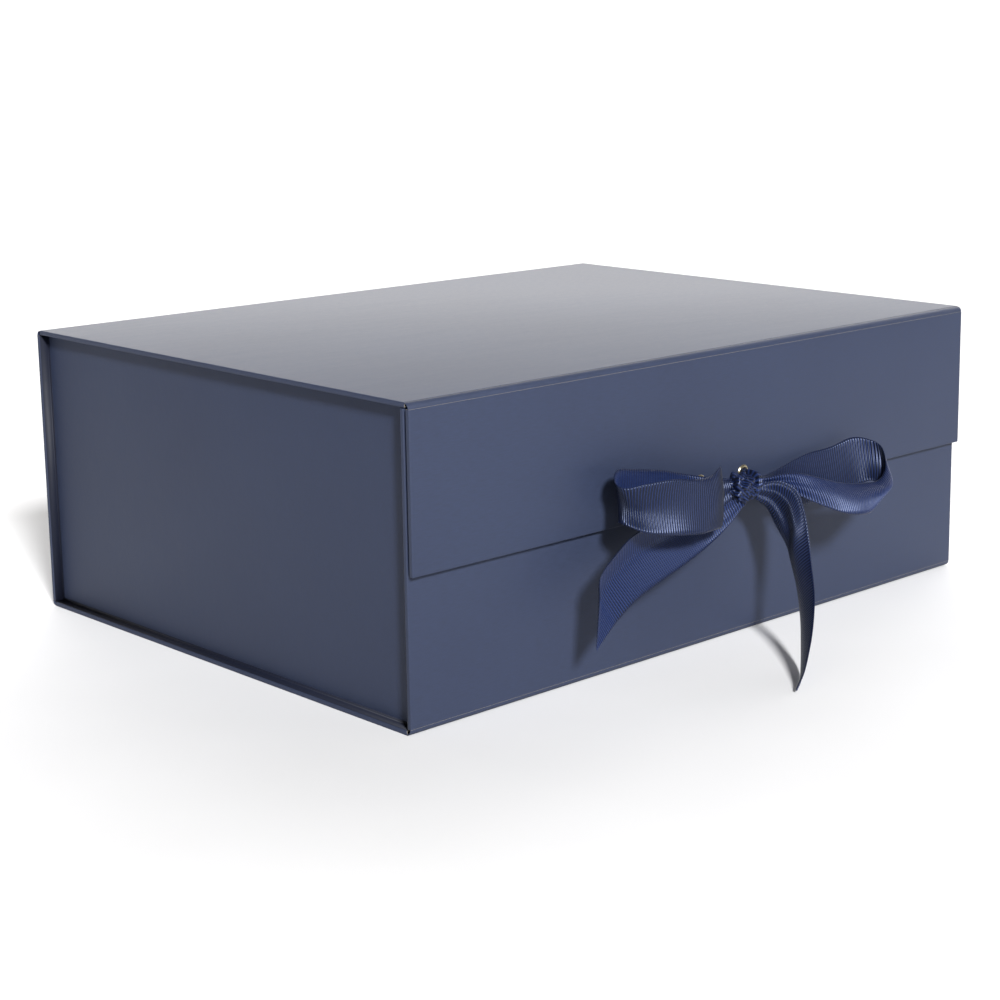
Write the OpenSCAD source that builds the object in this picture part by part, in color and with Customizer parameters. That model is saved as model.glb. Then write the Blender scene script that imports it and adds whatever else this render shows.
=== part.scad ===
// Rigid gift box of the book type: one wrapped case of five greyboard panels that fold
// round two inset side walls, a lid and front flap in one piece with it, and a ribbon
// bow laced through two eyelets in the flap. Millimetres, +Z up. The origin is the
// middle of the base's underside, +X is the right-hand end seen from the front,
// and the front faces -Y.

/* [Case] */
// Width of every case panel, end to end
case_w = 400; // [240:1:440]
// Depth from the front wall's face to the spine's face
case_d = 300; // [160:1:380]
// Height from the table to the lid's face
case_h = 150; // [110:1:180]
// Height of the front flap, down from the lid's face
flap_h = 77; // [60:1:90]
// Thickness of the greyboard
board_t = 2.0; // [1.5:0.1:3.0]
// Thickness of the covering paper
paper_t = 0.2; // [0.15:0.05:0.3]
// Width of covering paper turned in over each board's edge
turn_in = 15; // [10:1:20]
// Radius of the covering paper where it bends from panel to panel
crease_r = 3.0; // [2.9:0.1:4]

/* [Side walls] */
// How far each side wall stands in from the case's end
side_inset = 5; // [3:0.5:8]
// Gap between the closed lid and the top of the walls
lid_gap = 0.3; // [0.2:0.1:0.6]
// Gap between the front wall and the back of the flap
flap_gap = 1.2; // [1.1:0.1:2.0]
// Width of the paper strip that joins a side wall to the case
strip_w = 4.4; // [2:0.2:4.6]

/* [Corner tabs] */
// Length of each leg of a corner tab
tab_leg = 25; // [18:1:35]
// Thickness of the tab card
tab_t = 0.6; // [0.4:0.1:1.0]
// Distance from a tab to the top and the bottom of its wall
tab_end_gap = 8; // [4:1:16]
// Width of the tape that holds a tab
tape_w = 16; // [8:1:17]
// Thickness of the tape
tape_t = 0.3; // [0.2:0.1:0.4]

/* [Closure] */
// Diameter of the closing magnets and of the steel plates
magnet_d = 12; // [8:1:16]
// Thickness of a magnet and of a plate
magnet_t = 1.2; // [0.8:0.1:1.2]
// Distance of each magnet from the middle of the flap
magnet_x = 120; // [60:1:170]
// Height of the magnets above the flap's lower edge
magnet_up = 15; // [11:1:22]
// Space round a magnet in its pocket
magnet_gap = 0.2; // [0.1:0.1:0.4]

/* [Eyelets] */
// Distance of each eyelet from the middle of the flap
eyelet_x = 16; // [13:0.5:18]
// Height of the eyelets above the flap's lower edge
eyelet_up = 12; // [8:0.5:20]
// Diameter of the hole through an eyelet
eyelet_bore = 4.4; // [4:0.2:5]
// Wall of an eyelet's barrel
eyelet_wall = 0.4; // [0.3:0.1:0.6]
// Diameter of an eyelet's front rim
eyelet_rim = 8; // [7:0.5:9]
// Thickness of an eyelet's rims
eyelet_rim_t = 0.4; // [0.3:0.1:0.5]
// Space round an eyelet's barrel in the flap
eyelet_gap = 0.1; // [0.05:0.05:0.3]

/* [Ribbon] */
// Width of the ribbon, laid flat
ribbon_w = 26; // [20:0.5:28]
// Thickness of the ribbon
ribbon_t = 0.5; // [0.3:0.1:0.6]
// Thickness of the ribbon's run behind the flap
back_run_t = 0.4; // [0.3:0.1:0.5]
// Diameter of the gathered ribbon where it passes an eyelet
strand_d = 3.6; // [2.6:0.1:3.8]
// Space between the knot and what leaves it
knot_gap = 0.2; // [0.1:0.1:0.4]

/* [Hidden] */
$fn = 48;
eps = 0.01;

navy = [0.17, 0.21, 0.33];
lining_navy = [0.13, 0.16, 0.26];
board_grey = [0.52, 0.51, 0.49];
ribbon_blue = [0.16, 0.22, 0.44];
steel_grey = [0.66, 0.66, 0.68];
brass = [0.72, 0.66, 0.5];
card_black = [0.12, 0.13, 0.17];
tape_white = [0.9, 0.9, 0.88];

// A panel is covering paper, board, the paper's turn-in and the lining over it
skin_t = paper_t + board_t + paper_t;
panel_t = skin_t + paper_t;
fold_t = 2 * paper_t;
lining_in = side_inset;

half_w = case_w / 2;
half_d = case_d / 2;
base_l = case_d - 2 * crease_r;
spine_top = case_h - crease_r;
front_top = case_h - panel_t - lid_gap;
flap_face = -half_d - flap_gap - panel_t;
flap_back = -half_d - flap_gap;
lid_front = flap_face + crease_r;
lid_l = half_d - crease_r - lid_front;
flap_low = case_h - flap_h;
flap_l = flap_h - crease_r;
wall_x = half_w - side_inset;
wall_d = case_d - 2 * panel_t;
wall_h = front_top - panel_t;
magnet_z = flap_low + magnet_up;
eyelet_z = flap_low + eyelet_up;
barrel_r = eyelet_bore / 2 + eyelet_wall;
eyelet_hole_r = barrel_r + eyelet_gap;

// A panel lies in XY with its length along +Y, its covered face at z = 0 and its lining
// up. At each end it has free edges, where the paper turns in, or runs on to a fold.

module board_shape(w, l, free0, free1) {
    y0 = free0 ? paper_t : 0;
    y1 = free1 ? l - paper_t : l;
    translate([-w / 2 + paper_t, y0, paper_t])
        cube([w - 2 * paper_t, y1 - y0, board_t]);
}

module wrap_shape(w, l, free0, free1) {
    y0 = free0 ? turn_in : -eps;
    y1 = free1 ? l - turn_in : l + eps;
    c0 = free0 ? paper_t : -eps;
    c1 = free1 ? l - paper_t : l + eps;
    difference() {
        translate([-w / 2, 0, 0])
            cube([w, l, skin_t]);
        translate([-w / 2 + paper_t, c0, paper_t])
            cube([w - 2 * paper_t, c1 - c0, board_t]);
        translate([-w / 2 + turn_in, y0, paper_t + board_t - eps])
            cube([w - 2 * turn_in, y1 - y0, paper_t + 2 * eps]);
    }
}

module lining_shape(w, l, free0, free1, in = lining_in) {
    y0 = free0 ? in : 0;
    y1 = free1 ? l - in : l;
    p0 = free0 ? turn_in : 0;
    p1 = free1 ? l - turn_in : l;
    translate([-w / 2 + in, y0, skin_t])
        cube([w - 2 * in, y1 - y0, paper_t]);
    translate([-w / 2 + turn_in, p0, paper_t + board_t])
        cube([w - 2 * turn_in, p1 - p0, paper_t + eps]);
}

// Where each panel stands in the closed box

module at_base() {
    translate([0, -base_l / 2, 0]) children();
}

module at_front() {
    translate([0, -half_d, crease_r]) rotate([90, 0, 0]) mirror([0, 0, 1]) children();
}

module at_spine() {
    translate([0, half_d, crease_r]) rotate([90, 0, 0]) children();
}

module at_lid() {
    translate([0, lid_front, case_h]) mirror([0, 0, 1]) children();
}

module at_flap() {
    translate([0, flap_face, flap_low]) rotate([90, 0, 0]) mirror([0, 0, 1]) children();
}

// side is -1 for the left wall and 1 for the right one
module at_wall(side) {
    translate([side * wall_x, 0, panel_t])
        rotate([0, 0, side * 90]) rotate([90, 0, 0]) children();
}

// A quarter-round of paper and lining between two panels; y and z give its centre, and
// out and up say which way its corner points
module fold(y, z, out, up) {
    translate([-half_w, y, z])
        rotate([90, 0, 90]) intersection() {
            difference() {
                cylinder(h = case_w, r = crease_r);
                translate([0, 0, -1]) cylinder(h = case_w + 2, r = crease_r - fold_t);
            }
            translate([out > 0 ? 0 : -crease_r - 1, up > 0 ? 0 : -crease_r - 1, 0])
                cube([crease_r + 1, crease_r + 1, case_w]);
        }
}

// A round hole or disc square to the flap and the front wall
module across(x, z, y0, y1, r) {
    translate([x, y1, z]) rotate([90, 0, 0]) cylinder(h = y1 - y0, r = r);
}

module eyelet_holes() {
    for (side = [-1, 1])
        across(side * eyelet_x, eyelet_z, flap_face - 1, flap_back + 1, eyelet_hole_r);
}

// The tray

module base_board() {
    color(board_grey) at_base() board_shape(case_w, base_l, false, false);
}

module base_wrap() {
    color(navy) at_base() wrap_shape(case_w, base_l, false, false);
}

module base_lining() {
    color(lining_navy) at_base() lining_shape(case_w, base_l, false, false);
}

front_l = front_top - crease_r;
plate_y = -half_d + paper_t;

module front_board() {
    color(board_grey) difference() {
        at_front() board_shape(case_w, front_l, false, true);
        for (side = [-1, 1])
            across(side * magnet_x, magnet_z, plate_y - 1, plate_y + magnet_t + magnet_gap,
                magnet_d / 2 + magnet_gap);
    }
}

module front_wrap() {
    color(navy) at_front() wrap_shape(case_w, front_l, false, true);
}

module front_lining() {
    color(lining_navy) at_front() lining_shape(case_w, front_l, false, true);
}

spine_l = spine_top - crease_r;

module spine_board() {
    color(board_grey) at_spine() board_shape(case_w, spine_l, false, false);
}

module spine_wrap() {
    color(navy) at_spine() wrap_shape(case_w, spine_l, false, false);
}

module spine_lining() {
    color(lining_navy) at_spine() lining_shape(case_w, spine_l, false, false);
}

module wall_board(side) {
    color(board_grey) at_wall(side) mirror([0, 0, 1])
        board_shape(wall_d, wall_h, true, true);
}

module wall_wrap(side) {
    color(navy) at_wall(side) mirror([0, 0, 1])
        wrap_shape(wall_d, wall_h, true, true);
}

module wall_lining(side) {
    color(lining_navy) at_wall(side) mirror([0, 0, 1])
        lining_shape(wall_d, wall_h, true, true, 1);
}

module left_wall_board() { wall_board(-1); }
module left_wall_wrap() { wall_wrap(-1); }
module left_wall_lining() { wall_lining(-1); }
module right_wall_board() { wall_board(1); }
module right_wall_wrap() { wall_wrap(1); }
module right_wall_lining() { wall_lining(1); }

module front_fold() {
    color(navy) fold(-half_d + crease_r, crease_r, -1, -1);
}

module spine_fold() {
    color(navy) fold(half_d - crease_r, crease_r, 1, -1);
}

// The strip lies on the case's turn-in and up the wall, round three of its sides
module joint_strip(side) {
    low = skin_t;
    y0 = -half_d + skin_t;
    y1 = half_d - skin_t;
    color(navy) mirror([side < 0 ? 1 : 0, 0, 0]) translate([wall_x, 0, 0]) {
        translate([0, y0, low]) cube([strip_w, y1 - y0, paper_t]);
        for (y = [y0, y1 - paper_t])
            translate([0, y, low]) cube([strip_w, paper_t, front_top - low]);
        difference() {
            translate([0, y0, low]) cube([paper_t, y1 - y0, front_top - low]);
            translate([-1, y0 + strip_w, low + strip_w])
                cube([2, y1 - y0 - 2 * strip_w, front_top]);
        }
    }
}

module left_joint_strip() { joint_strip(-1); }
module right_joint_strip() { joint_strip(1); }

// Four angled cards in the tray's corners, each taped to the front wall or the spine
tab_low = panel_t + tab_end_gap;
tab_high = front_top - tab_end_gap;
tab_x = wall_x - panel_t;
tab_y = half_d - panel_t - tape_t;

module at_corners() {
    for (sx = [0, 1], sy = [0, 1])
        mirror([sx, 0, 0]) mirror([0, sy, 0]) children();
}

module corner_tabs() {
    color(card_black) at_corners() translate([0, 0, tab_low]) {
        translate([tab_x - tab_leg, tab_y - tab_t, 0])
            cube([tab_leg, tab_t, tab_high - tab_low]);
        translate([tab_x - tab_t, tab_y - tab_leg, 0])
            cube([tab_t, tab_leg, tab_high - tab_low]);
    }
}

module tab_tape() {
    color(tape_white) at_corners()
        translate([tab_x - tab_leg + (tab_leg - tape_w) / 2, tab_y, tab_low])
            cube([tape_w, tape_t, tab_high - tab_low]);
}

module catch_plates() {
    color(steel_grey) for (side = [-1, 1])
        across(side * magnet_x, magnet_z, plate_y, plate_y + magnet_t, magnet_d / 2);
}

// The lid and its crease

module lid_board() {
    color(board_grey) at_lid() board_shape(case_w, lid_l, false, false);
}

module lid_wrap() {
    color(navy) at_lid() wrap_shape(case_w, lid_l, false, false);
}

module lid_lining() {
    color(lining_navy) at_lid() lining_shape(case_w, lid_l, false, false);
}

module lid_crease() {
    color(navy) fold(half_d - crease_r, case_h - crease_r, 1, 1);
}

// The flap, what closes it and what the ribbon passes through

magnet_y = flap_face + paper_t + board_t;

module flap_board() {
    color(board_grey) difference() {
        at_flap() board_shape(case_w, flap_l, true, false);
        eyelet_holes();
        for (side = [-1, 1])
            across(side * magnet_x, magnet_z, magnet_y - magnet_t - magnet_gap, magnet_y + 1,
                magnet_d / 2 + magnet_gap);
    }
}

module flap_wrap() {
    color(navy) difference() {
        at_flap() wrap_shape(case_w, flap_l, true, false);
        eyelet_holes();
    }
}

module flap_lining() {
    color(lining_navy) difference() {
        at_flap() lining_shape(case_w, flap_l, true, false);
        eyelet_holes();
    }
}

module flap_crease() {
    color(navy) fold(flap_face + crease_r, case_h - crease_r, -1, 1);
}

module flap_magnets() {
    color(steel_grey) for (side = [-1, 1])
        across(side * magnet_x, magnet_z, magnet_y - magnet_t, magnet_y, magnet_d / 2);
}

module eyelet(side) {
    color(brass) difference() {
        union() {
            across(side * eyelet_x, eyelet_z, flap_face, flap_back, barrel_r);
            across(side * eyelet_x, eyelet_z, flap_face - eyelet_rim_t, flap_face,
                eyelet_rim / 2);
            across(side * eyelet_x, eyelet_z, flap_back, flap_back + eyelet_rim_t,
                eyelet_rim / 2);
        }
        across(side * eyelet_x, eyelet_z, flap_face - 2, flap_back + 2, eyelet_bore / 2);
    }
}

module left_eyelet() { eyelet(-1); }
module right_eyelet() { eyelet(1); }

// The bow is placed from the eyelets: [x, distance out from the flap's face, height
// above the eyelets]. A station is one edge of the ribbon, the other edge, how far the
// middle bulges, and the depth of its pleats.

ribbon_w_drawn = 26;
floor_drawn = 85;
knot = [0, 15, -2];

left_loop_stations = [
    [[-6, 13, 2], [-6, 13, -5], 0, 0.5],
    [[-13, 11.5, 3.5], [-13, 11.5, -8], 0, 0.7],
    [[-21, 8.5, 5], [-21, 8.5, -13], 0, 0.6],
    [[-33, 5.5, 8], [-33, 6, -15.5], 0, 0.2],
    [[-49, 6, 12.5], [-50, 7, -13], 0, 0],
    [[-71, 9, 17], [-72, 11, -8], 0, 0],
    [[-86, 12, 19.5], [-86, 14, -5], 0, 0],
    [[-92, 16, 15.5], [-92, 19, -3.5], 2, 0],
    [[-91, 22, 13], [-91.5, 25, -4.5], 3, 0],
    [[-83, 27.5, 14.5], [-85.5, 30.5, -7.5], 3, 0],
    [[-68, 31, 15], [-71.5, 34, -10.5], 2, 0],
    [[-53, 31.5, 12.7], [-54.5, 34, -13.2], 1, 0],
    [[-40, 29, 12], [-41, 31, -14.2], 0, 0],
    [[-31, 26.5, 14.5], [-30, 26.5, -13.5], -1, 0.2],
    [[-21, 22, 8], [-20, 23, -12.5], 0, 0.6],
    [[-12, 18.5, 3], [-11.5, 19, -8.5], 0, 0.7],
    [[-6, 17, 1.5], [-6, 17, -5], 0, 0.5]
];

right_loop_stations = [
    [[6, 12, 2], [6, 12, -4], 0, 0.5],
    [[14, 11.5, 0], [14, 11.5, -9], 0, 0.7],
    [[24, 9, -1], [25, 9.5, -16], 0, 0.6],
    [[41, 6, 0.6], [43, 8, -22.5], 0, 0.2],
    [[60, 5, 3.5], [62, 9, -21.5], 0, 0],
    [[77.5, 6, 4.5], [78, 11, -20.5], 0, 0],
    [[92, 8.5, 7.7], [90, 15, -16.5], 0, 0],
    [[101, 12.5, 6.2], [95, 20.5, -14], 2, 0],
    [[103, 20, 2.8], [94, 26, -16], 4, 0],
    [[99, 26, -6], [88.5, 30.5, -19.5], 5, 0],
    [[90, 28.5, -11.5], [78.5, 35.5, -22.7], 5, 0],
    [[76, 29, -11], [68, 39.5, -23.7], 4, 0],
    [[60.5, 28, -8.5], [56.5, 42, -22], 3, 0],
    [[46, 26.5, -4], [45, 40, -19], 2, 0],
    [[34, 23.5, 0], [34, 32, -13.5], 1, 0.2],
    [[24, 20, 1], [24, 24, -7.5], 0, 0.5],
    [[14, 16.5, 0], [14, 17.5, -5], 0, 0.5],
    [[6, 15.5, 1], [6, 15.5, -3], 0, 0.4]
];

left_tail_stations = [
    [[-5, 14.5, -8], [-2, 15.5, -13], 0, 0.4],
    [[-15, 14, -8.5], [-12, 17, -19.5], -0.5, 0.5],
    [[-32, 13, -8], [-27, 18, -25], -1.5, 0.3],
    [[-52, 13, -8.5], [-47, 20, -31], -3, 0],
    [[-75, 14, -12.3], [-70, 22, -36.5], -4, 0],
    [[-92, 17, -19], [-86, 23.5, -41], -4, 0],
    [[-104.5, 20, -26], [-98, 24, -47.5], -3.5, 0],
    [[-107, 21.5, -36], [-102.5, 24, -51], -2.5, 0],
    [[-110, 23, -47], [-107.5, 24, -55], -1, 0],
    [[-112.5, 24, -57.8], [-112.2, 24, -58.8], 0, 0]
];

right_tail_stations = [
    [[6, 20.5, -1], [5, 18, -9], -0.5, 0.4],
    [[15, 24, -0.5], [11, 20, -14], -2.5, 0.5],
    [[22, 29.5, -5], [15, 22.5, -23], -5, 0.4],
    [[22.5, 34.5, -15], [18, 27, -33], -5, 0.2],
    [[19, 40.5, -26], [19.5, 30, -43], -5, 0],
    [[13, 47.5, -38], [19, 34, -55], -3.5, 0],
    [[5, 56, -51], [12, 42, -68], -2.5, 0],
    [[-7, 65, -62], [0, 52.5, -78.3], -2, 0],
    [[-17.5, 71.5, -70], [-12, 62.5, -83.3], -1.5, 0],
    [[-28, 77, -77.5], [-25, 72.5, -83.5], -0.7, 0],
    [[-36.3, 79.2, -83.4], [-35.8, 79, -83.9], 0, 0]
];

strand_stations = [
    [[16, -1, 1.2], [16, -1, -1.2], 0, 0],
    [[16, 2.2, 1.2], [16, 2.2, -1.2], 0, 0],
    [[13.5, 5, 1.4], [13.5, 5, -1.4], 0, 0],
    [[9, 7.5, 1], [9, 7.5, -2.4], 0, 0],
    [[4, 9.5, 0], [4, 9.5, -3.6], 0, 0]
];

function mix(a, b, t) = a + (b - a) * t;
function unit(v) = v / norm(v);

// A smooth curve through four values, from the second to the third
function smooth(a, b, c, d, t) =
    b + (c - a) * t / 2 + (2 * a - 5 * b + 4 * c - d) * t * t / 2
    + (3 * b - a - 3 * c + d) * t * t * t / 2;

function station(list, i) = list[max(0, min(len(list) - 1, i))];

function smooth_station(list, s) =
    let (i = min(floor(s), len(list) - 2), t = s - i)
    [for (k = [0:3]) smooth(station(list, i - 1)[k], station(list, i)[k],
        station(list, i + 1)[k], station(list, i + 2)[k], t)];

// From bow values to the box's own frame, with the ribbon's width about its middle line
function in_box(p, up) = [p[0], flap_face - p[1], eyelet_z + p[2] * up];

function placed(list, up) =
    [for (s = list)
        let (a = in_box(s[0], up), b = in_box(s[1], up), m = (a + b) / 2,
            h = (a - b) / 2 * ribbon_w / ribbon_w_drawn)
        [m + h, m - h, s[2], s[3]]];

// A closed band swept through the stations, with cols strips across its width
module ribbon(list, steps, cols, thick, skew = 1, up = 1) {
    path = placed(list, up);
    n = (len(path) - 1) * steps;
    rings = [for (i = [0:n]) smooth_station(path, i / steps)];
    mids = [for (r = rings) (r[0] + r[1]) / 2];
    sides = [for (i = [0:n])
        unit(cross(mids[min(n, i + 1)] - mids[max(0, i - 1)], rings[i][1] - rings[i][0]))];
    sheet = [for (side = [0.5, -0.5], i = [0:n], j = [0:cols])
        let (u = j / cols)
        mix(rings[i][0], rings[i][1], u) + sides[i] * (side * thick
            + rings[i][2] * sin(180 * pow(u, skew)) + rings[i][3] * sin(720 * u))];
    row = cols + 1;
    layer = (n + 1) * row;
    top = [for (i = [0:n - 1], j = [0:cols - 1], half = [0, 1])
        let (a = i * row + j)
        half == 0 ? [a, a + 1, a + row + 1] : [a, a + row + 1, a + row]];
    bottom = [for (f = top) [f[2] + layer, f[1] + layer, f[0] + layer]];
    rim = concat(
        [for (i = [0:n - 1]) [i * row, (i + 1) * row]],
        [for (j = [0:cols - 1]) [n * row + j, n * row + j + 1]],
        [for (i = [n:-1:1]) [i * row + cols, (i - 1) * row + cols]],
        [for (j = [cols:-1:1]) [j, j - 1]]);
    walls = [for (e = rim, half = [0, 1])
        half == 0 ? [e[0], e[1], e[1] + layer] : [e[0], e[1] + layer, e[0] + layer]];
    polyhedron(points = sheet, faces = concat(top, bottom, walls), convexity = 8);
}

// The tied knot, a rounded lump with a band of ribbon over its front
module knot_shape(grow) {
    up = [0, 0, eyelet_z];
    hull() for (s = [[-3.5, -4, 4, 3.6], [4, -3, 3, 3.8], [-2, 0, 6, 3], [4.5, 3, -4, 3.5],
            [-3, 3, -6, 3.4], [0, -5.5, -3, 3.6], [2, -2, -8, 2.6], [-1, 4, 1, 4]])
        translate(up + [knot[0] + s[0], flap_face - knot[1] + s[1], knot[2] + s[2]])
            sphere(r = s[3] + grow, $fn = 16);
}

module ribbon_lacing() {
    y0 = flap_back + eyelet_rim_t;
    color(ribbon_blue) difference() {
        union() {
            translate([0, y0 + back_run_t, eyelet_z]) rotate([90, 0, 0])
                linear_extrude(back_run_t) polygon([
                    [-eyelet_x - 2, -2.5], [-eyelet_x + 6, -ribbon_w / 4],
                    [eyelet_x - 6, -ribbon_w / 4], [eyelet_x + 2, -2.5],
                    [eyelet_x + 2, 2.5], [eyelet_x - 6, ribbon_w / 4],
                    [-eyelet_x + 6, ribbon_w / 4], [-eyelet_x - 2, 2.5]]);
            for (side = [-1, 1]) {
                across(side * eyelet_x, eyelet_z, flap_face - 1.5, y0 + eps, strand_d / 2);
                mirror([side < 0 ? 1 : 0, 0, 0]) translate([eyelet_x - 16, 0, 0])
                    ribbon(strand_stations, 3, 2, 2);
            }
        }
        knot_shape(knot_gap);
    }
}

module bow_knot() {
    color(ribbon_blue) knot_shape(0);
}

module left_loop() {
    color(ribbon_blue) difference() {
        ribbon(left_loop_stations, 3, 6, ribbon_t);
        knot_shape(knot_gap);
    }
}

module right_loop() {
    color(ribbon_blue) difference() {
        ribbon(right_loop_stations, 3, 6, ribbon_t);
        knot_shape(knot_gap);
    }
}

module left_tail() {
    color(ribbon_blue) difference() {
        ribbon(left_tail_stations, 3, 6, ribbon_t, 0.76);
        knot_shape(knot_gap);
    }
}

module right_tail() {
    color(ribbon_blue) difference() {
        ribbon(right_tail_stations, 3, 6, ribbon_t, 1, eyelet_z / floor_drawn);
        knot_shape(knot_gap);
    }
}

base_board();
base_wrap();
base_lining();
front_board();
front_wrap();
front_lining();
spine_board();
spine_wrap();
spine_lining();
left_wall_board();
left_wall_wrap();
left_wall_lining();
right_wall_board();
right_wall_wrap();
right_wall_lining();
front_fold();
spine_fold();
left_joint_strip();
right_joint_strip();
corner_tabs();
tab_tape();
catch_plates();
lid_board();
lid_wrap();
lid_lining();
lid_crease();
flap_board();
flap_wrap();
flap_lining();
flap_crease();
flap_magnets();
left_eyelet();
right_eyelet();
ribbon_lacing();
bow_knot();
left_loop();
right_loop();
left_tail();
right_tail();
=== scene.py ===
# A navy book-style gift box with a magnetic flap and a grosgrain bow.
# Metres, +Z up, front towards -Y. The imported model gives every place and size.
import math

import bmesh
import bpy
from mathutils import Matrix, Quaternion, Vector, noise


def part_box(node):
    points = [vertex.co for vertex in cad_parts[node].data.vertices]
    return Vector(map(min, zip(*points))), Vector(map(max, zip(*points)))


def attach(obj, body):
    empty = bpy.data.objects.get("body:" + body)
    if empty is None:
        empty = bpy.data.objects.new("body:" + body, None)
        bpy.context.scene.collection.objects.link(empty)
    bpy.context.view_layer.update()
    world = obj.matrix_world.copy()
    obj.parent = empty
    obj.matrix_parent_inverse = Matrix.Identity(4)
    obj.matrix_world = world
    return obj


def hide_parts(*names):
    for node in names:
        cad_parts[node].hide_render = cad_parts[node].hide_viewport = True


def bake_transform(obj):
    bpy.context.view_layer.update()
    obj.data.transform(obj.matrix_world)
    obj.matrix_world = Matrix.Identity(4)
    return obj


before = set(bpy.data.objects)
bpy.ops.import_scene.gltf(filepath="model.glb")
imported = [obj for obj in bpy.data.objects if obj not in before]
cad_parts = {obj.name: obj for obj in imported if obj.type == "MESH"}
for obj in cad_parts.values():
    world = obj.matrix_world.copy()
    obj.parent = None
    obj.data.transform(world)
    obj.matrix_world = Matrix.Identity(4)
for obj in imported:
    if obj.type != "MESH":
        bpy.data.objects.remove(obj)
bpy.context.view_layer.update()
scene = bpy.context.scene
mm = 0.001

# The photograph's viewpoint
cameraSet = {
    "place": (-0.7539, -0.8237, 0.3126),
    "azimuth": -44.863,
    "elevation": 11.479,
    "roll": -0.36,
    "focal": 74.78,
    "shift": (-0.0972, -0.0675),
}


def makeCamera(s):
    a, e, r = (math.radians(s[k]) for k in ("azimuth", "elevation", "roll"))
    back = Vector((math.sin(a) * math.cos(e), -math.cos(a) * math.cos(e), math.sin(e)))
    level = Vector((math.cos(a), math.sin(a), 0))
    up = back.cross(level)
    right = level * math.cos(r) + up * math.sin(r)
    up = up * math.cos(r) - level * math.sin(r)
    data = bpy.data.cameras.new("photoCamera")
    data.sensor_width = 36
    data.lens = s["focal"]
    data.shift_x, data.shift_y = s["shift"]
    data.clip_start, data.clip_end = 0.05, 40
    camera = bpy.data.objects.new("photoCamera", data)
    turn = Matrix((right, up, back)).transposed().to_4x4()
    camera.matrix_world = Matrix.Translation(s["place"]) @ turn
    scene.collection.objects.link(camera)
    scene.camera = camera


makeCamera(cameraSet)
print("camera placed")


# Materials

def hexColour(text):
    parts = [int(text[i:i + 2], 16) / 255 for i in (1, 3, 5)]
    linear = [c / 12.92 if c <= 0.04045 else ((c + 0.055) / 1.055) ** 2.4 for c in parts]
    return (*linear, 1.0)


def addNode(tree, kind, settings=None, inputs=None):
    node = tree.nodes.new(kind)
    for name, value in (settings or {}).items():
        setattr(node, name, value)
    for name, value in (inputs or {}).items():
        if isinstance(value, bpy.types.NodeSocket):
            tree.links.new(value, node.inputs[name])
        else:
            node.inputs[name].default_value = value
    return node


def startMaterial(name, constants):
    material = bpy.data.materials.new(name)
    material.use_nodes = True
    shader = material.node_tree.nodes["Principled BSDF"]
    for socket, value in constants.items():
        shader.inputs[socket].default_value = value
    return material, material.node_tree, shader


def coveringPaper(name, look):
    # Matt-laminated book paper: deep blue, a faint fibre, and a soft shine at low angles
    material, tree, shader = startMaterial(name, {
        "IOR": look["ior"], "Sheen Weight": look["sheen"], "Sheen Roughness": 0.4})
    place = addNode(tree, "ShaderNodeTexCoord").outputs["Object"]
    cloud = addNode(tree, "ShaderNodeTexNoise", None,
                    {"Vector": place, "Scale": 9.0, "Detail": 3.0}).outputs["Fac"]
    # Paper fibres about 0.3 mm wide and 3 mm long, along the board's width
    stretch = addNode(tree, "ShaderNodeMapping", None, {"Vector": place, "Scale": (0.12, 1, 1)})
    fibre = addNode(tree, "ShaderNodeTexNoise", None,
                    {"Vector": stretch.outputs["Vector"], "Scale": 1600.0, "Detail": 4.0,
                     "Roughness": 0.65}).outputs["Fac"]
    tone = addNode(tree, "ShaderNodeMix", {"data_type": "RGBA"},
                   {"Factor": cloud, 6: hexColour(look["dark"]), 7: hexColour(look["light"])})
    speck = addNode(tree, "ShaderNodeMapRange", None,
                    {"Value": fibre, "From Min": 0.3, "From Max": 0.7,
                     "To Min": 0.86, "To Max": 1.14})
    shade = addNode(tree, "ShaderNodeVectorMath", {"operation": "SCALE"},
                    {0: tone.outputs[2], "Scale": speck.outputs["Result"]})
    tree.links.new(shade.outputs["Vector"], shader.inputs["Base Color"])
    rough = addNode(tree, "ShaderNodeMapRange", None,
                    {"Value": fibre, "From Min": 0.3, "From Max": 0.7,
                     "To Min": look["roughness"] - 0.04, "To Max": look["roughness"] + 0.05})
    tree.links.new(rough.outputs["Result"], shader.inputs["Roughness"])
    # The board under the paper is a little wavy, about 20 mm from wave to wave
    drawn = addNode(tree, "ShaderNodeMapping", None, {"Vector": place, "Scale": (0.3, 1, 1)})
    wave = addNode(tree, "ShaderNodeTexNoise", None,
                   {"Vector": drawn.outputs["Vector"], "Scale": 50.0, "Detail": 3.0,
                    "Roughness": 0.6}).outputs["Fac"]
    under = addNode(tree, "ShaderNodeBump", None,
                    {"Height": wave, "Strength": 0.5, "Distance": 0.0006})
    bump = addNode(tree, "ShaderNodeBump", None,
                   {"Height": fibre, "Strength": 0.35, "Distance": 0.00004,
                    "Normal": under.outputs["Normal"]})
    tree.links.new(bump.outputs["Normal"], shader.inputs["Normal"])
    return material


navyPaper = coveringPaper("laminatedNavyPaper", {
    "dark": "#252d44", "light": "#2b354e", "roughness": 0.62, "ior": 1.46, "sheen": 0.0})
# Uncoated lining paper: darker, and softer because nothing is laminated on it
coveringPaper("uncoatedLiningPaper", {
    "dark": "#18213a", "light": "#1d2744", "roughness": 0.68, "ior": 1.45, "sheen": 0.05})
# The same paper in the step round the side walls, coloured nearly black as painted shade because the
# step is always in shadow
hingePaper = coveringPaper("hingePaper", {
    "dark": "#0c1120", "light": "#10162a", "roughness": 0.6, "ior": 1.4, "sheen": 0.0})


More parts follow.
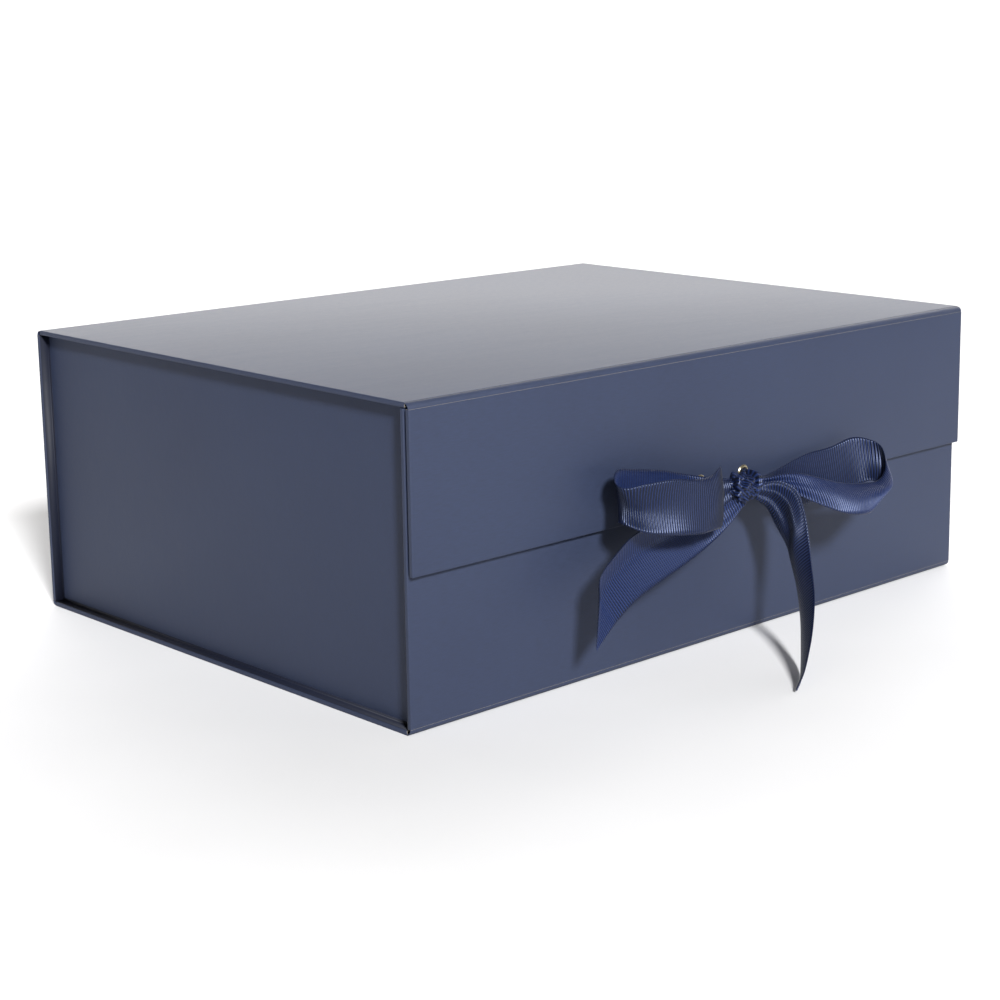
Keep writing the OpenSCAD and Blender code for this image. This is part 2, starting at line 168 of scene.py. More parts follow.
def greyboard(name):
    # Recycled greyboard: dull grey-brown with flecks about 0.8 mm long
    material, tree, shader = startMaterial(name, {"IOR": 1.45})
    place = addNode(tree, "ShaderNodeTexCoord").outputs["Object"]
    fleck = addNode(tree, "ShaderNodeTexNoise", None,
                    {"Vector": place, "Scale": 1200.0, "Detail": 5.0, "Roughness": 0.7})
    tone = addNode(tree, "ShaderNodeMix", {"data_type": "RGBA"},
                   {"Factor": fleck.outputs["Fac"], 6: hexColour("#6f6a62"),
                    7: hexColour("#9a958b")})
    tree.links.new(tone.outputs[2], shader.inputs["Base Color"])
    shader.inputs["Roughness"].default_value = 0.9
    return material


def plainFinish(name, colour, roughness, metallic=0.0, grain=900.0, ior=1.5):
    # A fine mottle in tone and roughness, for small parts
    material, tree, shader = startMaterial(name, {"Metallic": metallic, "IOR": ior})
    place = addNode(tree, "ShaderNodeTexCoord").outputs["Object"]
    mottle = addNode(tree, "ShaderNodeTexNoise", None,
                     {"Vector": place, "Scale": grain, "Detail": 3.0}).outputs["Fac"]
    level = addNode(tree, "ShaderNodeMapRange", None,
                    {"Value": mottle, "To Min": 0.88, "To Max": 1.12})
    shade = addNode(tree, "ShaderNodeVectorMath", {"operation": "SCALE"},
                    {0: hexColour(colour)[:3], "Scale": level.outputs["Result"]})
    tree.links.new(shade.outputs["Vector"], shader.inputs["Base Color"])
    rough = addNode(tree, "ShaderNodeMapRange", None,
                    {"Value": mottle, "To Min": roughness - 0.06, "To Max": roughness + 0.06})
    tree.links.new(rough.outputs["Result"], shader.inputs["Roughness"])
    return material


def grosgrain(name, look):
    # Polyester grosgrain: close yarns along the ribbon over thick cross ribs, silky sheen, and
    # painted shade darkening the grooves between the ribs
    material, tree, shader = startMaterial(name, {
        "IOR": look["ior"], "Sheen Weight": look["sheen"], "Sheen Roughness": 0.35,
        "Sheen Tint": hexColour(look["tint"]), "Specular Tint": hexColour(look["tint"]),
        "Roughness": look["roughness"]})
    along = addNode(tree, "ShaderNodeUVMap", {"uv_map": "clothUV"}).outputs["UV"]
    # Warp yarns at 0.3 mm; UV units are metres
    yarn = addNode(tree, "ShaderNodeTexWave", {"wave_profile": "SIN", "bands_direction": "X"},
                   {"Vector": along, "Scale": 530.0, "Distortion": 1.0, "Detail": 2.0,
                    "Detail Scale": 3.0})
    slub = addNode(tree, "ShaderNodeTexNoise", {"noise_dimensions": "2D"},
                   {"Vector": along, "Scale": 900.0, "Detail": 3.0})
    mixed = addNode(tree, "ShaderNodeMath", {"operation": "ADD"},
                    {0: yarn.outputs["Fac"], 1: slub.outputs["Fac"]})
    ribTone = addNode(tree, "ShaderNodeAttribute", {"attribute_name": "ribHeight"}).outputs["Fac"]
    # Painted shade: the colour darkens from the ribs' crowns into the grooves, as little light gets
    # down between the ribs
    grooveShadeMask = addNode(tree, "ShaderNodeMapRange", {"interpolation_type": "SMOOTHSTEP"},
                    {"Value": ribTone, "From Min": 0.25, "From Max": 1.0}).outputs["Result"]
    tone = addNode(tree, "ShaderNodeMix", {"data_type": "RGBA"},
                   {"Factor": grooveShadeMask, 6: hexColour(look["paintedGrooveShade"]), 7: hexColour(look["rib"])})
    level = addNode(tree, "ShaderNodeMapRange", None,
                    {"Value": mixed.outputs["Value"], "From Max": 2.0, "To Min": 0.8,
                     "To Max": 1.2})
    shade = addNode(tree, "ShaderNodeVectorMath", {"operation": "SCALE"},
                    {0: tone.outputs[2], "Scale": level.outputs["Result"]})
    tree.links.new(shade.outputs["Vector"], shader.inputs["Base Color"])
    bump = addNode(tree, "ShaderNodeBump", None,
                   {"Height": mixed.outputs["Value"], "Strength": 0.3, "Distance": 0.00005})
    tree.links.new(bump.outputs["Normal"], shader.inputs["Normal"])
    return material


greyboard("recycledGreyboard")
# Dyed card tabs: dull blue-black
plainFinish("dyedTabCard", "#161a26", 0.75)
# Double-sided tape: an off-white film with a dull waxy shine
plainFinish("doubleSidedTape", "#e4e2d8", 0.55)
# Nickel-plated steel, seen only behind the paper: a soft grey mirror
plainFinish("nickelPlatedSteel", "#a9a9ac", 0.3, 1.0, 700.0)
# Pressed and polished brass: pale gold with bright edges
eyeletBrass = plainFinish("polishedEyeletBrass", "#d6cbab", 0.24, 1.0, 500.0)
# The nearly black groove colour is painted shade between the ribs; the rib colour is the ribbon's
# own
ribbonCloth = grosgrain("navyGrosgrain", {
    "paintedGrooveShade": "#02040e", "rib": "#1e2c57", "sheen": 0.05, "tint": "#b4c2ea",
    "ior": 1.62, "roughness": 0.36})
print("materials made")


# Mesh helpers

def finishPiece(bm, name, body, material, smooth=30, replaces=()):
    mesh = bpy.data.meshes.new(name)
    bm.to_mesh(mesh)
    bm.free()
    piece = bpy.data.objects.new(name, mesh)
    scene.collection.objects.link(piece)
    mesh.materials.append(material)
    mesh.shade_smooth()
    if smooth < 180:
        mesh.set_sharp_from_angle(angle=math.radians(smooth))
    if body:
        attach(piece, body)
    if replaces:
        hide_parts(*replaces)
    return piece


def wrappedBoard(low, high, edge, segments):
    # A board in its covering paper: a slab with softly rounded edges
    bm = bmesh.new()
    bmesh.ops.create_cube(bm, size=1)
    bmesh.ops.scale(bm, vec=high - low, verts=bm.verts)
    bmesh.ops.translate(bm, vec=(low + high) / 2, verts=bm.verts)
    bmesh.ops.bevel(bm, geom=bm.edges[:], offset=edge, offset_type="OFFSET",
                    segments=segments, profile=0.5, affect="EDGES", material=-1)
    return bm


# Panels of the case. Each cover stands for its sheet of covering paper.
panelSet = {
    "edge": 0.45 * mm,      # how round the paper goes over a board's edge
    "segments": 4,
    "covers": {
        "lid_wrap": ("lidCover", "lid"),
        "flap_wrap": ("flapCover", "flap"),
        "front_wrap": ("frontCover", "tray"),
        "base_wrap": ("baseCover", "tray"),
        "spine_wrap": ("spineCover", "tray"),
        "left_wall_wrap": ("leftWallCover", "tray"),
        "right_wall_wrap": ("rightWallCover", "tray"),
    },
}


def makePanels(s):
    for node, (name, body) in s["covers"].items():
        low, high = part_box(node)
        bm = wrappedBoard(low, high, s["edge"], s["segments"])
        finishPiece(bm, name, body, navyPaper, 40, [node])


makePanels(panelSet)
print("panels made")


# Paper creases between the panels
creaseSet = {
    "sunk": 0.25 * mm,      # how far the crease lies below the boards' faces
    "thick": 0.4 * mm,
    "tuck": 7.0,            # degrees that each end runs on under the next cover
    "steps": 18,
    "endRound": 0.25 * mm,
    "creases": {
        "lid_crease": ("lidCrease", "tray", "lid", 1, 1),
        "flap_crease": ("flapCrease", "flap", "lid", -1, 1),
        "front_fold": ("frontFold", "tray", None, -1, -1),
        "spine_fold": ("spineFold", "tray", None, 1, -1),
    },
}


def creaseBand(low, high, out, up, s):
    # A quarter-round band: one end's section, spun about the crease's own centre
    radius = high.y - low.y
    centre = Vector((0, low.y if out > 0 else high.y, low.z if up > 0 else high.z))
    outer, inner = radius - s["sunk"], radius - s["sunk"] - s["thick"]
    tuck = math.radians(s["tuck"])
    # The section starts on the upright panel's side and turns to the level one's
    rows = []
    bm = bmesh.new()
    for r in (inner, outer):
        for x in (low.x, high.x):
            rows.append(bm.verts.new((x, centre.y + out * r, centre.z)))
    section = bm.faces.new((rows[0], rows[1], rows[3], rows[2]))
    turn = 1 if out * up > 0 else -1
    bmesh.ops.rotate(bm, cent=centre, matrix=Matrix.Rotation(-turn * tuck, 3, "X"),
                     verts=rows)
    bmesh.ops.spin(bm, geom=[section] + section.edges[:] + rows, cent=centre,
                   axis=(1, 0, 0), angle=turn * (math.pi / 2 + 2 * tuck),
                   steps=s["steps"], use_duplicate=False, use_merge=False)
    bmesh.ops.recalc_face_normals(bm, faces=bm.faces)
    ends = [e for e in bm.edges
            if abs(e.verts[0].co.x - e.verts[1].co.x) < 1e-7
            and abs(abs(e.verts[0].co.x) - high.x) < 1e-6
            and abs((e.verts[0].co.yz - centre.yz).length
                    - (e.verts[1].co.yz - centre.yz).length) < 1e-6]
    bmesh.ops.bevel(bm, geom=ends, offset=s["endRound"] * 0.6, offset_type="OFFSET",
                    segments=2, profile=0.5, affect="EDGES", material=-1)
    return bm, centre, radius


def makeCreases(s):
    for node, (name, upright, level, out, up) in s["creases"].items():
        low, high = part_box(node)
        bm, centre, radius = creaseBand(low, high, out, up, s)
        body = None if level else upright
        piece = finishPiece(bm, name, body, navyPaper, 50, [node])
        if level:
            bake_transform(piece)


makeCreases(creaseSet)
print("creases made")


# Paper strips that join the side walls to the case, in the step round each wall
jointSet = {
    "radius": 0.7 * mm,
    "thick": 0.2 * mm,
    "steps": 6,
    "onWall": 0.6 * mm,     # how far the paper runs on past the corner, each way
    "onCase": 4.0 * mm,
}


def jointPaper(bm, start, end, wallWay, caseWay, s):
    # One strip: a hollow quarter-round with two flat margins, drawn from start to end
    profile = [wallWay * (s["radius"] + s["onWall"])]
    for i in range(s["steps"] + 1):
        a = math.pi / 2 * i / s["steps"]
        profile.append((wallWay * (1 - math.sin(a)) + caseWay * (1 - math.cos(a))) * s["radius"])
    profile.append(caseWay * (s["radius"] + s["onCase"]))
    verts = [bm.verts.new(start + p) for p in profile]
    edges = [bm.edges.new(pair) for pair in zip(verts, verts[1:])]
    drawn = bmesh.ops.extrude_edge_only(bm, edges=edges)["geom"]
    moved = [v for v in drawn if isinstance(v, bmesh.types.BMVert)]
    bmesh.ops.translate(bm, vec=end - start, verts=moved)


def makeJointPaper(s):
    for side, node in ((-1, "left_joint_strip"), (1, "right_joint_strip")):
        low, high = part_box(node)
        wall = low.x if side > 0 else high.x
        bm = bmesh.new()
        lift = s["thick"] / 2
        bottom = low.z + lift
        outward, up = Vector((side, 0, 0)), Vector((0, 0, 1))
        corners = [Vector((wall + side * lift, y, bottom)) for y in (low.y + lift, high.y - lift)]
        jointPaper(bm, corners[0], corners[1], up, outward, s)
        for corner, inward in zip(corners, (Vector((0, 1, 0)), Vector((0, -1, 0)))):
            top = Vector((corner.x, corner.y, high.z))
            jointPaper(bm, corner, top, inward, outward, s)
        bmesh.ops.recalc_face_normals(bm, faces=bm.faces)
        name = "leftJointPaper" if side < 0 else "rightJointPaper"
        # Its paper is coloured nearly black as painted shade for the step it lies in
        piece = finishPiece(bm, name, "tray", hingePaper, 60, [node])
        thick = piece.modifiers.new("paperThickness", "SOLIDIFY")
        thick.thickness = s["thick"]
        thick.offset = 0


makeJointPaper(jointSet)
print("joint paper made")


# Finishes on the pieces that stay as the model has them
nodeFinishes = {
    "recycledGreyboard": ["base_board", "front_board", "spine_board", "left_wall_board",
                          "right_wall_board", "lid_board", "flap_board"],
    "uncoatedLiningPaper": ["base_lining", "front_lining", "spine_lining",
                            "left_wall_lining", "right_wall_lining", "lid_lining",
                            "flap_lining"],
    "dyedTabCard": ["corner_tabs"],
    "doubleSidedTape": ["tab_tape"],
    "nickelPlatedSteel": ["catch_plates", "flap_magnets"],
}
for finish, nodes in nodeFinishes.items():
    for node in nodes:
        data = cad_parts[node].data
        data.materials.clear()
        data.materials.append(bpy.data.materials[finish])
print("frame finished")


# Eyelets, spun with a rolled rim on the front and a flattened one behind
eyeletSet = {
    "bore": 2.2 * mm,
    "wall": 0.4 * mm,
    "rim": 4.0 * mm,
    "steps": 48,
    # Radius, and height over the flap's face or depth under the back rim, in millimetres
    "front": [(2.35, 0.45), (2.8, 0.7), (3.3, 0.62), (3.85, 0.2)],
    "back": [(4.0, 0.15), (2.8, 0), (2.2, 0.1)],
}


def makeEyelets(s):
    faceY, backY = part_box("flap_wrap")[0].y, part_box("flap_lining")[1].y
    for node, name in (("left_eyelet", "leftEyelet"), ("right_eyelet", "rightEyelet")):
        low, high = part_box(node)
        centre = (low + high) / 2
        b, w, r = s["bore"], s["wall"], s["rim"]
        # Round the rolled rim, down the wall and round the back rim
        section = [(b, backY), (b, faceY)]
        section += [(q * mm, faceY - d * mm) for q, d in s["front"]]
        section += [(r, faceY), (b + w, faceY), (b + w, backY), (r, backY)]
        section += [(q * mm, high.y - d * mm) for q, d in s["back"]]
        bm = bmesh.new()
        verts = [bm.verts.new((centre.x + q, y, centre.z)) for q, y in section]
        edges = [bm.edges.new((a, c)) for a, c in zip(verts, verts[1:] + verts[:1])]
        bmesh.ops.spin(bm, geom=verts + edges, cent=centre, axis=(0, 1, 0),
                       angle=math.tau, steps=s["steps"], use_merge=True)
        bmesh.ops.remove_doubles(bm, verts=bm.verts, dist=1e-7)
        bmesh.ops.recalc_face_normals(bm, faces=bm.faces)
        finishPiece(bm, name, "flap", eyeletBrass, 40, [node])


makeEyelets(eyeletSet)
print("eyelets made")


# The ribbon. Stations are in millimetres from the eyelets: [x, out from the flap, up] for
# each edge of the ribbon, how far its middle bulges, and the depth of its pleats.
ribbonSet = {
    "width": 26 * mm,
    "thick": 0.4 * mm,
    "ribPitch": 1.45 * mm,
    "ribHeight": 0.24 * mm,
    "stepsPerRib": 6,
    "columns": 20,
    "selvedge": 0.06,       # share of the width where the ribs die out
    "foldRound": 0.012,     # how soft a folded tail's ridge is
}

leftLoopStations = [
    [[-6, 13, 2], [-6, 13, -5], 0, 0.5],
    [[-13, 11.5, 3.5], [-13, 11.5, -8], 0, 0.7],
    [[-21, 8.5, 5], [-21, 8.5, -13], 0, 0.6],
    [[-33, 5.5, 8], [-33, 6, -15.5], 0, 0.2],
    [[-49, 6, 12.5], [-50, 7, -13], 0, 0],
    [[-71, 9, 17], [-72, 11, -8], 0, 0],
    [[-86, 12, 19.5], [-86, 14, -5], 0, 0],
    [[-92, 16, 15.5], [-92, 19, -3.5], 2, 0],
    [[-91, 22, 13], [-91.5, 25, -4.5], 3, 0],
    [[-83, 27.5, 14.5], [-85.5, 30.5, -7.5], 3, 0],
    [[-68, 31, 15], [-71.5, 34, -10.5], 2, 0],
    [[-53, 31.5, 12.7], [-54.5, 34, -13.2], 0.5, 0],
    [[-40, 29, 12], [-41, 31, -14.2], -2, 0],
    [[-31, 26.5, 14.5], [-30, 26.5, -15.5], -1.2, 0.1],
    [[-25.5, 20, 9], [-25, 20.5, -14], -0.5, 0.3],
    [[-19, 15.5, 5], [-20, 16, -11], 0, 0.3],
    [[-12, 14.8, 3], [-12, 15.8, -7.5], 0, 0.35],
    [[-6, 15.5, 1.5], [-6, 16, -4.5], 0, 0.3],
]

rightLoopStations = [
    [[6, 12, 2], [6, 12, -4], 0, 0.5],
    [[14, 11.5, 0], [14, 11.5, -9], 0, 0.7],
    [[24, 9, -1], [25, 9.5, -16], 0, 0.6],
    [[41, 6, 0.6], [43, 8, -22.5], 0, 0.2],
    [[60, 5, 3.5], [62, 9, -21.5], 0, 0],
    [[77.5, 6, 4.5], [78, 11, -20.5], 0, 0],
    [[92, 8.5, 7.7], [90, 15, -16.5], 0, 0],
    [[101, 12.5, 6.2], [95, 20.5, -14], 2, 0],
    [[103, 20, 2.8], [94, 26, -16], 4, 0],
    [[99, 26, -6], [88.5, 30.5, -19.5], 5, 0],
    [[90, 28.5, -11.5], [78.5, 35.5, -22.7], 5, 0],
    [[76, 29, -11], [68, 39.5, -23.7], 4, 0],
    [[60.5, 28, -8.5], [56.5, 42, -22], 3, 0],
    [[46, 26.5, -4], [45, 40, -19], 2, 0],
    [[34, 23.5, 0], [34, 32, -13.5], 1, 0.2],
    [[24, 20, 1], [24, 24, -7.5], 0, 0.5],
    [[14, 16.5, 0], [14, 17.5, -5], 0, 0.5],
    [[6, 15.5, 1], [6, 15.5, -3], 0, 0.4],
]

leftTailStations = [
    [[-5, 16.5, -4.5], [-3, 18.5, -9], 0, 0.1],
    [[-15, 14.5, -8], [-13, 18, -17.5], -0.5, 0.15],
    [[-32, 13.5, -8], [-27, 18, -25], -2, 0.1],
    [[-55.5, 16, -7.5], [-47, 20, -31], -4, 0],
    [[-80.8, 19, -10.5], [-70, 22, -36.5], -5.5, 0],
    [[-97.8, 22, -17.2], [-86, 23.5, -41], -5.5, 0],
    [[-109.1, 24, -24.6], [-98, 24, -47.5], -4.5, 0],
    [[-110.5, 24.5, -35], [-102.5, 24, -51], -3, 0],
    [[-111.7, 24.5, -46.5], [-107.5, 24, -55], -1.2, 0],
    [[-112.5, 24, -57.8], [-112.2, 24, -58.8], 0, 0],
]

rightTailStations = [
    [[6, 20.5, -1], [5, 18, -9], -0.5, 0.4],
    [[15, 24, -0.5], [11, 20, -14], -2.5, 1.1],
    [[22, 29.5, -5], [15, 22.5, -23], -4.5, 1.5],
    [[22.5, 34.5, -15], [18, 27, -33], -4.5, 1.1],
    [[19, 40.5, -26], [19.5, 30, -43], -5, 0.4],
    [[13, 47.5, -38], [19, 34, -55], -3.5, 0],
    [[5, 56, -51], [12, 42, -68], -2.5, 0],
    [[-7, 65, -62], [0, 52.5, -78.3], -2, 0],
    [[-17.5, 71.5, -70], [-12, 62.5, -83.3], -1.5, 0],
    [[-28, 77, -77.5], [-25, 72.5, -83.5], -0.7, 0],
    [[-36.3, 79.2, -83.4], [-35.8, 79, -83.9], 0, 0],
]

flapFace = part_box("flap_wrap")[0].y
eyeletHeight = sum(corner.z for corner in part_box("left_eyelet")) / 2


def fromEyelets(p):
    return Vector((p[0] * mm, flapFace - p[1] * mm, eyeletHeight + p[2] * mm))


def curveThrough(a, b, c, d, t):
    # A smooth curve through four values, from b to c
    return (b + (c - a) * (t / 2) + (a * 2 - b * 5 + c * 4 - d) * (t * t / 2)
            + (b * 3 - a - c * 3 + d) * (t ** 3 / 2))


def ribbonSection(path, s):
    # The two edges, the bulge and the pleats at s stations along
    i = min(int(s), len(path) - 2)
    around = [path[max(0, min(len(path) - 1, i + k))] for k in (-1, 0, 1, 2)]
    return [curveThrough(*(row[k] for row in around), s - i) for k in range(4)]


def evenSteps(path, step, full):
    # Places spaced evenly on the path's middle line, and that line's length. A gathered band
    # is longer over its top than there: full says by how much.
    marksPerSpan = 40
    fine = marksPerSpan * (len(path) - 1)
    marks = [ribbonSection(path, i / marksPerSpan) for i in range(fine + 1)]
    mids = [(m[0] + m[1]) / 2 for m in marks]
    run = [0.0]
    for a, b in zip(mids, mids[1:]):
        run.append(run[-1] + (b - a).length)
    count = max(4, round(full * run[-1] / step))
    places, j = [], 0
    for i in range(count + 1):
        goal = run[-1] * i / count
        while j < fine - 1 and run[j + 1] < goal:
            j += 1
        span = max(run[j + 1] - run[j], 1e-9)
        places.append((j + min(1.0, (goal - run[j]) / span)) / marksPerSpan)
    return places, full * run[-1]


def makeRibbon(name, stations, s, skew=1.0, pleats=2, nodes=(), full=1.0,
               creased=False):
    path = [[fromEyelets(row[0]), fromEyelets(row[1]), row[2] * mm, row[3] * mm]
            for row in stations]
    places, length = evenSteps(path, s["ribPitch"] / s["stepsPerRib"], full)
    rows, cols = len(places), s["columns"]
    sections = [ribbonSection(path, p) for p in places]
    mids = [(q[0] + q[1]) / 2 for q in sections]
    bm = bmesh.new()
    uvLayer = bm.loops.layers.uv.new("clothUV")
    ribs = bm.verts.layers.float.new("ribHeight")
    bmesh.ops.create_grid(bm, x_segments=cols, y_segments=rows - 1, size=0.5)
    spots = {}
    for v in bm.verts:
        spots[v] = (round((v.co.y + 0.5) * (rows - 1)), round((v.co.x + 0.5) * cols))
    for v, (i, j) in spots.items():
        one, other, bulge, pleat = sections[i]
        u = j / cols
        way = mids[min(rows - 1, i + 1)] - mids[max(0, i - 1)]
        side = way.cross(other - one).normalized()
        edge = min(u, 1 - u) / s["selvedge"]
        rise = math.sin(math.tau * length * i / (rows - 1) / s["ribPitch"])
        w = u ** skew
        arch = 1 - math.sqrt((2 * w - 1) ** 2 + s["foldRound"]) if creased else math.sin(math.pi * w)
        fold = bulge * arch + pleat * math.sin(math.tau * pleats * u)
        v.co = one.lerp(other, u) + side * (fold + rise * s["ribHeight"] * min(1, edge))
        # The point's height on its rib also sets the painted groove shade
        v[ribs] = 0.5 + 0.5 * rise * min(1, edge)
    for face in bm.faces:
        for loop in face.loops:
            i, j = spots[loop.vert]
            loop[uvLayer].uv = (j / cols * s["width"], length * i / (rows - 1))
    piece = finishPiece(bm, name, "flap", ribbonCloth, 180, nodes)
    thick = piece.modifiers.new("ribbonThickness", "SOLIDIFY")
    thick.thickness = s["thick"]
    thick.offset = 0
    return piece


knotSet = {
    "middle": (-4.6, 16.4, -1.6),
    "core": (7.6, 6.8, 6.6),    # half its size in x, out and up
    "pleat": 0.7 * mm,
    "pleats": 4,
    "twist": 0.7,
    "wander": 1.5,          # how far the pleats stray from straight
    "crumple": 3.0 * mm,
    "ribsAlong": (0.7, 0.1, 0.7),
    "bandRadius": 3.2,
    "bandTall": 1.1,
    "bandWidth": 7,
    "bandFlare": 0.18,
    "bandBulge": 3.7,
    "bandUneven": 0.16,
    "bandPleat": 0.95,
    "bandDegrees": range(205, -206, -41),
    "bandRib": 0.12 * mm,    # drawn tight, its ribs lie flatter
    "bandMiddle": (2.6, 15, -2),
    "bandLean": 2.4,        # how far the band's top leans to the right
}


def ribbonColumn(bm, centre, along):
    # Painted rib shade and cloth coordinates for a gathered bunch of ribbon that runs along one
    # axis; its shape has no ribs, so the rib stripes are only painted
    ribs = bm.verts.layers.float.new("ribHeight")
    uvLayer = bm.loops.layers.uv.new("clothUV")
    bunchRadius = 4 * mm
    across = along.orthogonal().normalized()
    other = along.cross(across)
    # Rib values that paint the groove shade in stripes along the bunch
    for v in bm.verts:
        far = (v.co - centre).dot(along)
        v[ribs] = 0.5 + 0.5 * math.sin(math.tau * far / ribbonSet["ribPitch"])
    for face in bm.faces:
        for loop in face.loops:
            p = loop.vert.co - centre
            turn = math.atan2(p.dot(other), p.dot(across))
            loop[uvLayer].uv = (turn * bunchRadius, p.dot(along))


def makeKnotCore(s):
    # The crumpled bunch inside the knot, with the loops' gathers running into it
    bm = bmesh.new()
    bmesh.ops.create_icosphere(bm, subdivisions=6, radius=1)
    centre = fromEyelets(s["middle"])
    for v in bm.verts:
        n = v.co.copy()
        turn = math.atan2(n.z, -n.y) + s["twist"] * n.x
        fold = math.sin(s["pleats"] * turn + s["wander"] * noise.noise(n * 1.7))
        crease = noise.noise(n * 2.6 + Vector((3, 1, 7)))
        size = Vector((n.x * s["core"][0], n.y * s["core"][1], n.z * s["core"][2])) * mm
        v.co = centre + size + n * (s["pleat"] * fold + s["crumple"] * crease)
    ribbonColumn(bm, centre, Vector(s["ribsAlong"]).normalized())
    return finishPiece(bm, "knotCore", "flap", ribbonCloth, 180, ["bow_knot"])


def makeKnotBand(s):
    # The band that the right tail makes round the loops, its edges turned under
    cx, co, cu = s["bandMiddle"]
    half, r = s["bandWidth"] / 2, s["bandRadius"]
    path = []
    for degrees in s["bandDegrees"]:
        a = math.radians(degrees)
        x = cx + s["bandLean"] * math.sin(a)
        spot = (co + r * math.cos(a), cu + r * s["bandTall"] * math.sin(a))
        wide = half * (1 + s["bandFlare"] * math.cos(1.6 * a))
        path.append([[x - wide, *spot], [x + wide, *spot],
                     s["bandBulge"] * (1 + s["bandUneven"] * math.sin(2 * a + 1)),
                     s["bandPleat"]])
    pulled = dict(ribbonSet, ribHeight=s["bandRib"], selvedge=0.3)
    return makeRibbon("knotBand", path, pulled, pleats=3, nodes=["bow_knot"], full=1.05)


strandSet = {
    "lobes": 5,
    "lobe": 0.22,
    "twist": 0.12,          # radians from ring to ring
    "ringPoints": 40,
    "ringsPerSpan": 8,
    # Places and half thicknesses from behind the flap, through the eyelet, to the knot
    "route": [(16, -1.4, 0.2, 1.5), (16, 0, 0.1, 1.75), (15.8, 2, 0, 1.9), (14, 4.6, -0.3, 2.1),
              (10.5, 7.4, -0.9, 2.3), (6.5, 10, -1.5, 2.6), (2, 12.5, -2, 2.8)],
}


def makeStrand(name, side, s):
    # The ribbon gathered to a bunch where it comes through an eyelet
    points = [Vector(q) for q in s["route"]]    # place and half thickness
    rows = []
    for i in range(len(points) - 1):
        around = [points[max(0, min(len(points) - 1, i + k))] for k in (-1, 0, 1, 2)]
        rows += [curveThrough(*around, k / s["ringsPerSpan"]) for k in range(s["ringsPerSpan"])]
    rows.append(points[-1])
    spots = [fromEyelets((side * q[0], q[1], q[2])) for q in rows]
    bm = bmesh.new()
    ring = bmesh.ops.create_circle(bm, cap_ends=False, segments=s["ringPoints"], radius=1)["verts"]
    edges = bm.edges[:]
    turn, spot = Quaternion(), Vector()
    for i, row in enumerate(rows):
        angles = [(v, turn.inverted() @ (v.co - spot)) for v in ring]
        spot = spots[i]
        way = (spots[min(len(spots) - 1, i + 1)] - spots[max(0, i - 1)]).normalized()
        turn = way.to_track_quat("Z", "Y")
        for v, flat in angles:
            a = math.atan2(flat.y, flat.x)
            size = row[3] * mm * (1 + s["lobe"] * math.sin(s["lobes"] * a + i * s["twist"]))
            v.co = spot + turn @ Vector((math.cos(a), math.sin(a), 0)) * size
        if i < len(rows) - 1:
            drawn = bmesh.ops.extrude_edge_only(bm, edges=edges)["geom"]
            ring = [g for g in drawn if isinstance(g, bmesh.types.BMVert)]
            fresh = set(ring)
            edges = [g for g in drawn if isinstance(g, bmesh.types.BMEdge)
                     and g.verts[0] in fresh and g.verts[1] in fresh]
    bmesh.ops.holes_fill(bm, edges=[e for e in bm.edges if e.is_boundary], sides=0)
    bmesh.ops.recalc_face_normals(bm, faces=bm.faces)
    ribbonColumn(bm, spots[0], (spots[-1] - spots[0]).normalized())
    return finishPiece(bm, name, "flap", ribbonCloth, 180, ["ribbon_lacing"])


# The ribbon's run behind the flap, from eyelet to eyelet, pressed flat
backRunStations = [
    [[-17.2, -4.1, 1.6], [-17.2, -4.1, -1.6], 0, 0.1],
    [[-14.5, -4.0, 4.2], [-14.5, -4.0, -4.2], 0, 0.15],
    [[-10.5, -3.95, 8.4], [-10.5, -3.95, -8.4], 0, 0.12],
    [[-5.5, -3.9, 10.6], [-5.5, -3.9, -10.6], 0, 0.05],
    [[0, -3.9, 11], [0, -3.9, -11], 0, 0.03],
    [[5.5, -3.9, 10.6], [5.5, -3.9, -10.6], 0, 0.05],
    [[10.5, -3.95, 8.4], [10.5, -3.95, -8.4], 0, 0.12],
    [[14.5, -4.0, 4.2], [14.5, -4.0, -4.2], 0, 0.15],
    [[17.2, -4.1, 1.6], [17.2, -4.1, -1.6], 0, 0.1],
]

knotCore = makeKnotCore(knotSet)
makeKnotBand(knotSet)
makeRibbon("leftLoopRibbon", leftLoopStations, ribbonSet, nodes=["left_loop"])
makeRibbon("rightLoopRibbon", rightLoopStations, ribbonSet, nodes=["right_loop"])
makeRibbon("leftTailRibbon", leftTailStations, ribbonSet, 0.76, nodes=["left_tail"],
           creased=True)
makeRibbon("backRun", backRunStations, ribbonSet, pleats=4, nodes=["ribbon_lacing"])
strands = [makeStrand("leftStrand", -1, strandSet), makeStrand("rightStrand", 1, strandSet)]
makeRibbon("rightTailRibbon", rightTailStations, ribbonSet, nodes=["right_tail"])
print("ribbon made")


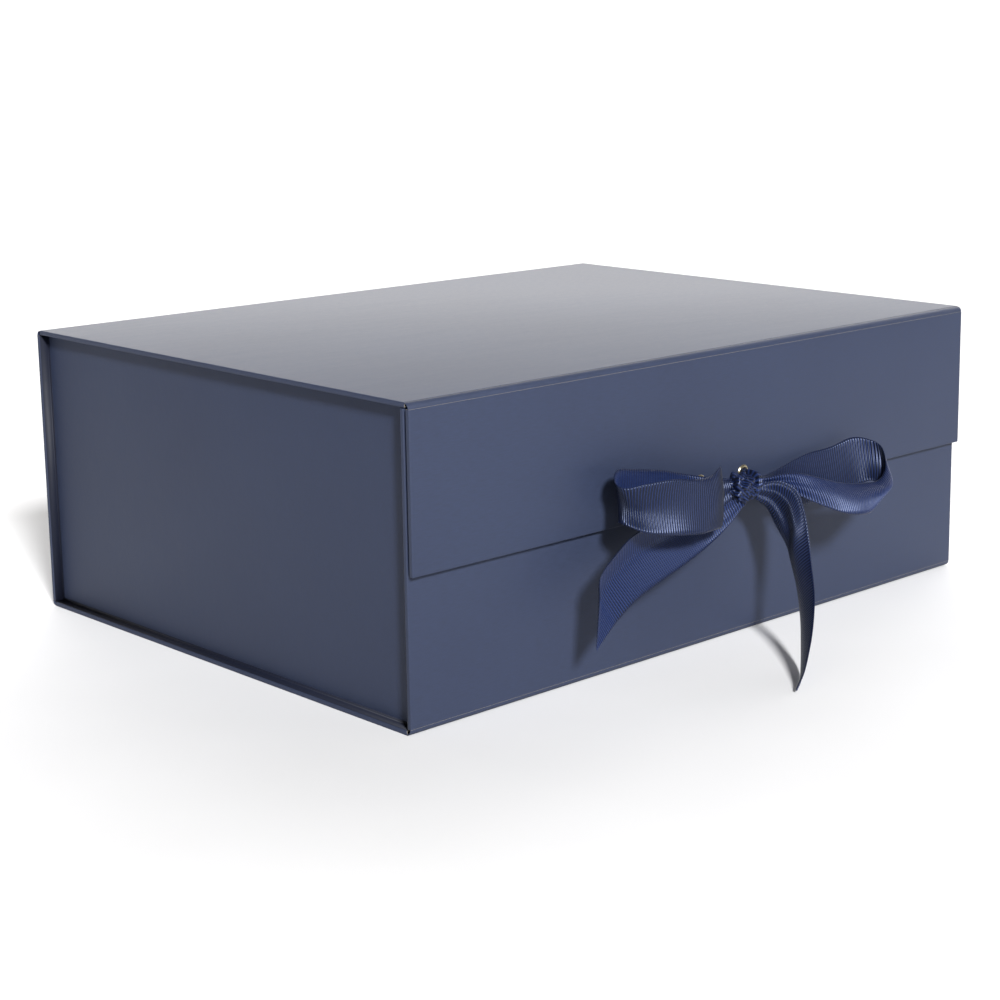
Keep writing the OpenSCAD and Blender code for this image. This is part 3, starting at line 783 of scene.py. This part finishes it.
# Floor and light
stageSet = {
    "floor": "#ededee",
    "floorSize": 30,
    "room": (1, 0.985, 0.965, 1),
    "front": 0.17,          # how bright the room is in front, and behind the box
    "behind": 4.6,
    "backWay": (0.707, 0.707, 0),
    "grows": (0.5, 0.88),   # from where to where it grows brighter, towards backWay
    "key": {"azimuth": -24, "elevation": 31, "strength": 5.0, "angle": 9},
}


def makeStage(s):
    bm = bmesh.new()
    bmesh.ops.create_grid(bm, x_segments=1, y_segments=1, size=s["floorSize"])
    mesh = bpy.data.meshes.new("paleFloor")
    bm.to_mesh(mesh)
    bm.free()
    floor = bpy.data.objects.new("paleFloor", mesh)
    scene.collection.objects.link(floor)
    mesh.materials.append(plainFinish("paleFloorPaint", s["floor"], 0.9, 0.0, 3.0))
    world = bpy.data.worlds.new("studio")
    scene.world = world
    world.use_nodes = True
    tree = world.node_tree
    way = addNode(tree, "ShaderNodeTexCoord").outputs["Generated"]
    behind = addNode(tree, "ShaderNodeVectorMath", {"operation": "DOT_PRODUCT"},
                     {0: way, 1: s["backWay"]}).outputs["Value"]
    level = addNode(tree, "ShaderNodeMapRange", {"interpolation_type": "SMOOTHSTEP"},
                    {"Value": behind, "From Min": s["grows"][0], "From Max": s["grows"][1],
                     "To Min": s["front"], "To Max": s["behind"]})
    sky = tree.nodes["Background"]
    sky.inputs["Color"].default_value = s["room"]
    tree.links.new(level.outputs["Result"], sky.inputs["Strength"])
    data = bpy.data.lights.new("keyLight", "SUN")
    data.energy, data.angle = s["key"]["strength"], math.radians(s["key"]["angle"])
    a, e = math.radians(s["key"]["azimuth"]), math.radians(s["key"]["elevation"])
    toLight = Vector((math.sin(a) * math.cos(e), -math.cos(a) * math.cos(e), math.sin(e)))
    lamp = bpy.data.objects.new("keyLight", data)
    lamp.rotation_mode = "QUATERNION"
    lamp.rotation_quaternion = toLight.to_track_quat("Z", "Y")
    lamp.location = toLight * 2
    scene.collection.objects.link(lamp)


makeStage(stageSet)
scene.view_settings.view_transform = "Standard"
print("stage made")
